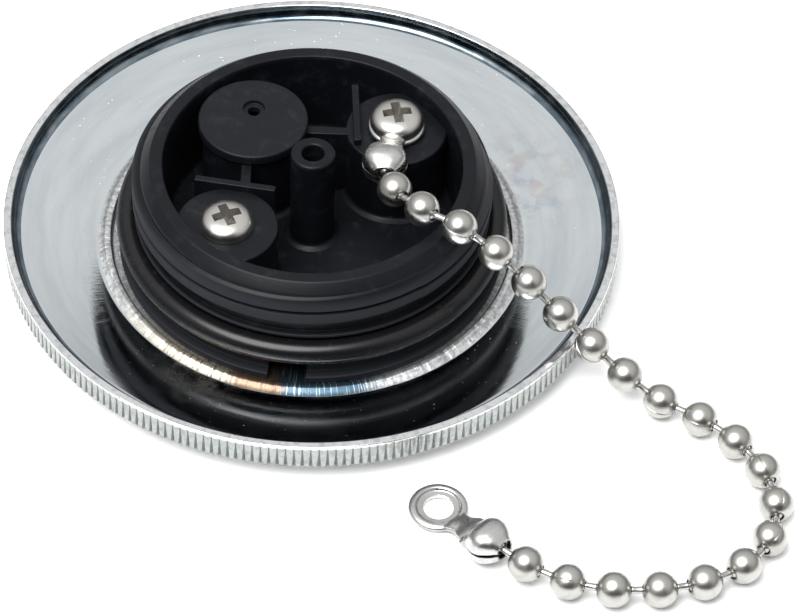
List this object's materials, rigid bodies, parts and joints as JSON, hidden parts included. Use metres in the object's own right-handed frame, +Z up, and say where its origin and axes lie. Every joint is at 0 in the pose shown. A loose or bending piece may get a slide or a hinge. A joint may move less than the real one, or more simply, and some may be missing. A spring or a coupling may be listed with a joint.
{
  "type": "deck fill cap",
  "caption": "Round fill cap lying plug up: dished metal head with fluted rim, threaded black plug with O-ring, vent and retaining ball chain.",
  "frame": {"origin": "centre of the flat land on the outer face of the head, where the cap lies on a surface", "axes": "+Z up along the thread axis, from the head to the mouth of the plug; the chain leaves the plug towards +X and -Y"},
  "size_m": [0.108, 0.1055, 0.0219],
  "materials": {
    "chrome_plate": "satin chrome, turned",
    "plug_plastic": "fine-grained moulding",
    "surge_plastic": "smooth moulding",
    "ring_rubber": "smooth",
    "stainless_screw": "tumbled",
    "stainless_sheet": "stamped sheet",
    "bead_steel": "bright",
    "link_wire": "drawn wire"
  },
  "bodies": {
    "cap": {"cap_head": "chrome_plate", "plug_body": "plug_plastic", "o_ring": "ring_rubber", "surge_plug": "surge_plastic", "plug_screw": "stainless_screw", "chain_screw": "stainless_screw"},
    "inner_coupling": {"inner_coupling": "stainless_sheet", "bead_01": "bead_steel"},
    "link_01": {"link_01": "link_wire"},
    "bead_02": {"bead_02": "bead_steel"},
    "link_02": {"link_02": "link_wire"},
    "bead_03": {"bead_03": "bead_steel"},
    "link_03": {"link_03": "link_wire"},
    "bead_04": {"bead_04": "bead_steel"},
    "link_04": {"link_04": "link_wire"},
    "bead_05": {"bead_05": "bead_steel"},
    "link_05": {"link_05": "link_wire"},
    "bead_06": {"bead_06": "bead_steel"},
    "link_06": {"link_06": "link_wire"},
    "bead_07": {"bead_07": "bead_steel"},
    "link_07": {"link_07": "link_wire"},
    "bead_08": {"bead_08": "bead_steel"},
    "link_08": {"link_08": "link_wire"},
    "bead_09": {"bead_09": "bead_steel"},
    "link_09": {"link_09": "link_wire"},
    "bead_10": {"bead_10": "bead_steel"},
    "link_10": {"link_10": "link_wire"},
    "bead_11": {"bead_11": "bead_steel"},
    "link_11": {"link_11": "link_wire"},
    "bead_12": {"bead_12": "bead_steel"},
    "link_12": {"link_12": "link_wire"},
    "bead_13": {"bead_13": "bead_steel"},
    "link_13": {"link_13": "link_wire"},
    "bead_14": {"bead_14": "bead_steel"},
    "link_14": {"link_14": "link_wire"},
    "bead_15": {"bead_15": "bead_steel"},
    "link_15": {"link_15": "link_wire"},
    "bead_16": {"bead_16": "bead_steel"},
    "link_16": {"link_16": "link_wire"},
    "bead_17": {"bead_17": "bead_steel"},
    "link_17": {"link_17": "link_wire"},
    "bead_18": {"bead_18": "bead_steel"},
    "link_18": {"link_18": "link_wire"},
    "bead_19": {"bead_19": "bead_steel"},
    "link_19": {"link_19": "link_wire"},
    "bead_20": {"bead_20": "bead_steel"},
    "link_20": {"link_20": "link_wire"},
    "bead_21": {"bead_21": "bead_steel"},
    "link_21": {"link_21": "link_wire"},
    "outer_coupling": {"outer_coupling": "stainless_sheet", "bead_22": "bead_steel"}
  },
  "joints": [
    {"name": "coupling_swivel", "type": "hinge", "parent": "cap", "child": "inner_coupling", "pos_m": [0.0112, 0.0098, 0.01495], "axis": [0, 0, 1], "range_deg": [0, 4]},
    {"name": "link_01_turn", "type": "hinge", "parent": "inner_coupling", "child": "link_01", "pos_m": [0.00983, -0.00149, 0.01774], "axis": [-0.0024, 0.1392, 0.9903], "range_deg": [-9, 4]},
    {"name": "bead_02_tilt", "type": "hinge", "parent": "link_01", "child": "bead_02", "pos_m": [0.01065, -0.00455, 0.01819], "axis": [-0.8829, -0.4695, 0], "range_deg": [0, 10]},
    {"name": "link_02_turn", "type": "hinge", "parent": "bead_02", "child": "link_02", "pos_m": [0.01195, -0.00698, 0.01868], "axis": [0.0815, -0.1533, -0.9848], "range_deg": [-3, 26]},
    {"name": "bead_03_tilt", "type": "hinge", "parent": "link_02", "child": "bead_03", "pos_m": [0.014, -0.00935, 0.01934], "axis": [0.6293, 0.7771, 0], "range_deg": [-20, 0]},
    {"name": "link_03_turn", "type": "hinge", "parent": "bead_03", "child": "link_03", "pos_m": [0.01616, -0.0111, 0.01966], "axis": [-0.088, 0.0712, 0.9936], "range_deg": [-19, 4]},
    {"name": "bead_04_tilt", "type": "hinge", "parent": "link_03", "child": "bead_04", "pos_m": [0.01896, -0.01265, 0.01971], "axis": [-0.4462, -0.8949, 0], "range_deg": [0, 30]},
    {"name": "link_04_turn", "type": "hinge", "parent": "bead_04", "child": "link_04", "pos_m": [0.02142, -0.01387, 0.01916], "axis": [-0.1784, 0.089, -0.9799], "range_deg": [-5, 15]},
    {"name": "bead_05_tilt", "type": "hinge", "parent": "link_04", "child": "bead_05", "pos_m": [0.02409, -0.01506, 0.01785], "axis": [0.4305, 0.9026, 0], "range_deg": [-21, 0]},
    {"name": "link_05_turn", "type": "hinge", "parent": "bead_05", "child": "link_05", "pos_m": [0.02632, -0.01613, 0.01654], "axis": [0.4237, -0.2021, 0.8829], "range_deg": [-15, 7]},
    {"name": "bead_06_tilt", "type": "hinge", "parent": "link_05", "child": "bead_06", "pos_m": [0.02874, -0.01736, 0.01484], "axis": [-0.4848, -0.8746, 0], "range_deg": [0, 17]},
    {"name": "link_06_turn", "type": "hinge", "parent": "bead_06", "child": "link_06", "pos_m": [0.03081, -0.01851, 0.01336], "axis": [-0.4635, 0.2569, -0.848], "range_deg": [-13, 12]},
    {"name": "bead_07_tilt", "type": "hinge", "parent": "link_06", "child": "bead_07", "pos_m": [0.03314, -0.01991, 0.01167], "axis": [0.515, 0.8572, 0], "range_deg": [-17, 1]},
    {"name": "link_07_turn", "type": "hinge", "parent": "bead_07", "child": "link_07", "pos_m": [0.03519, -0.02114, 0.0102], "axis": [0.4479, -0.2691, 0.8526], "range_deg": [-10, 17]},
    {"name": "bead_08_tilt", "type": "hinge", "parent": "link_07", "child": "bead_08", "pos_m": [0.03754, -0.02255, 0.00855], "axis": [-0.4924, -0.8704, 0], "range_deg": [-6, 17]},
    {"name": "link_08_turn", "type": "hinge", "parent": "bead_08", "child": "link_08", "pos_m": [0.03964, -0.02374, 0.00713], "axis": [-0.4417, 0.2499, -0.8616], "range_deg": [-16, 9]},
    {"name": "bead_09_tilt", "type": "hinge", "parent": "link_08", "child": "bead_09", "pos_m": [0.04208, -0.02504, 0.00553], "axis": [0.4462, 0.8949, 0], "range_deg": [-15, 20]},
    {"name": "link_09_turn", "type": "hinge", "parent": "bead_09", "child": "link_09", "pos_m": [0.04431, -0.02615, 0.00424], "axis": [0.4132, -0.206, 0.887], "range_deg": [-8, 16]},
    {"name": "bead_10_tilt", "type": "hinge", "parent": "link_09", "child": "bead_10", "pos_m": [0.04693, -0.02737, 0.00289], "axis": [-0.4462, -0.8949, 0], "range_deg": [-31, 3]},
    {"name": "link_10_turn", "type": "hinge", "parent": "bead_10", "child": "link_10", "pos_m": [0.04939, -0.0286, 0.00235], "axis": [-0.1708, 0.0851, -0.9816], "range_deg": [-12, 9]},
    {"name": "bead_11_tilt", "type": "hinge", "parent": "link_10", "child": "bead_11", "pos_m": [0.05222, -0.0301, 0.00252], "axis": [0.5446, 0.8387, 0], "range_deg": [-18, 15]},
    {"name": "link_11_turn", "type": "hinge", "parent": "bead_11", "child": "link_11", "pos_m": [0.05456, -0.03162, 0.00259], "axis": [-0.022, 0.0143, 0.9997], "range_deg": [-12, 22]},
    {"name": "bead_12_tilt", "type": "hinge", "parent": "link_11", "child": "bead_12", "pos_m": [0.05709, -0.03359, 0.00259], "axis": [-0.7193, -0.6947, 0], "range_deg": [-16, 16]},
    {"name": "link_12_turn", "type": "hinge", "parent": "bead_12", "child": "link_12", "pos_m": [0.05903, -0.03561, 0.00259], "axis": [0, 0, -1], "range_deg": [-26, 10]},
    {"name": "bead_13_tilt", "type": "hinge", "parent": "link_12", "child": "bead_13", "pos_m": [0.06091, -0.0382, 0.00259], "axis": [0.8988, 0.4384, 0], "range_deg": [-14, 14]},
    {"name": "link_13_turn", "type": "hinge", "parent": "bead_13", "child": "link_13", "pos_m": [0.06214, -0.04071, 0.00259], "axis": [0, 0, 1], "range_deg": [-8, 28]},
    {"name": "bead_14_tilt", "type": "hinge", "parent": "link_13", "child": "bead_14", "pos_m": [0.06302, -0.04379, 0.00259], "axis": [-0.9981, -0.061, 0], "range_deg": [-12, 12]},
    {"name": "link_14_turn", "type": "hinge", "parent": "bead_14", "child": "link_14", "pos_m": [0.06319, -0.04658, 0.00259], "axis": [0, 0, -1], "range_deg": [-30, 5]},
    {"name": "bead_15_tilt", "type": "hinge", "parent": "link_14", "child": "bead_15", "pos_m": [0.06269, -0.04974, 0.00259], "axis": [0.9205, -0.3907, 0], "range_deg": [-11, 11]},
    {"name": "link_15_turn", "type": "hinge", "parent": "bead_15", "child": "link_15", "pos_m": [0.0616, -0.05232, 0.00259], "axis": [0, 0, 1], "range_deg": [-4, 32]},
    {"name": "bead_16_tilt", "type": "hinge", "parent": "link_15", "child": "bead_16", "pos_m": [0.05967, -0.05488, 0.00259], "axis": [-0.6561, 0.7547, 0], "range_deg": [-13, 13]},
    {"name": "link_16_turn", "type": "hinge", "parent": "bead_16", "child": "link_16", "pos_m": [0.05756, -0.05671, 0.00259], "axis": [0, 0, -1], "range_deg": [-30, 6]},
    {"name": "bead_17_tilt", "type": "hinge", "parent": "link_16", "child": "bead_17", "pos_m": [0.05476, -0.05827, 0.00259], "axis": [0.3665, -0.9304, 0], "range_deg": [-16, 16]},
    {"name": "link_17_turn", "type": "hinge", "parent": "bead_17", "child": "link_17", "pos_m": [0.05215, -0.05929, 0.00259], "axis": [0, 0, 1], "range_deg": [-10, 25]},
    {"name": "bead_18_tilt", "type": "hinge", "parent": "link_17", "child": "bead_18", "pos_m": [0.04905, -0.06007, 0.00259], "axis": [-0.1478, 0.989, 0], "range_deg": [-17, 17]},
    {"name": "link_18_turn", "type": "hinge", "parent": "bead_18", "child": "link_18", "pos_m": [0.04628, -0.06048, 0.00259], "axis": [0, 0, -1], "range_deg": [-23, 12]},
    {"name": "bead_19_tilt", "type": "hinge", "parent": "link_18", "child": "bead_19", "pos_m": [0.04308, -0.06065, 0.00259], "axis": [-0.0523, -0.9986, 0], "range_deg": [-16, 16]},
    {"name": "link_19_turn", "type": "hinge", "parent": "bead_19", "child": "link_19", "pos_m": [0.04029, -0.0605, 0.00259], "axis": [0, 0, 1], "range_deg": [-12, 24]},
    {"name": "bead_20_tilt", "type": "hinge", "parent": "link_19", "child": "bead_20", "pos_m": [0.03713, -0.06, 0.00259], "axis": [0.2756, 0.9613, 0], "range_deg": [-18, 14]},
    {"name": "link_20_turn", "type": "hinge", "parent": "bead_20", "child": "link_20", "pos_m": [0.03444, -0.05923, 0.00269], "axis": [-0.0335, 0.0096, -0.9994], "range_deg": [-24, 10]},
    {"name": "bead_21_tilt", "type": "hinge", "parent": "link_20", "child": "bead_21", "pos_m": [0.0315, -0.05798, 0.00291], "axis": [-0.4924, -0.8704, 0], "range_deg": [-16, 17]},
    {"name": "link_21_turn", "type": "hinge", "parent": "bead_21", "child": "link_21", "pos_m": [0.02907, -0.05661, 0.00313], "axis": [0.0683, -0.0386, 0.9969], "range_deg": [-11, 24]},
    {"name": "outer_coupling_tilt", "type": "hinge", "parent": "link_21", "child": "outer_coupling", "pos_m": [0.02649, -0.05473, 0.00341], "axis": [0.6293, 0.7771, 0], "range_deg": [-4, 30]}
  ]
}
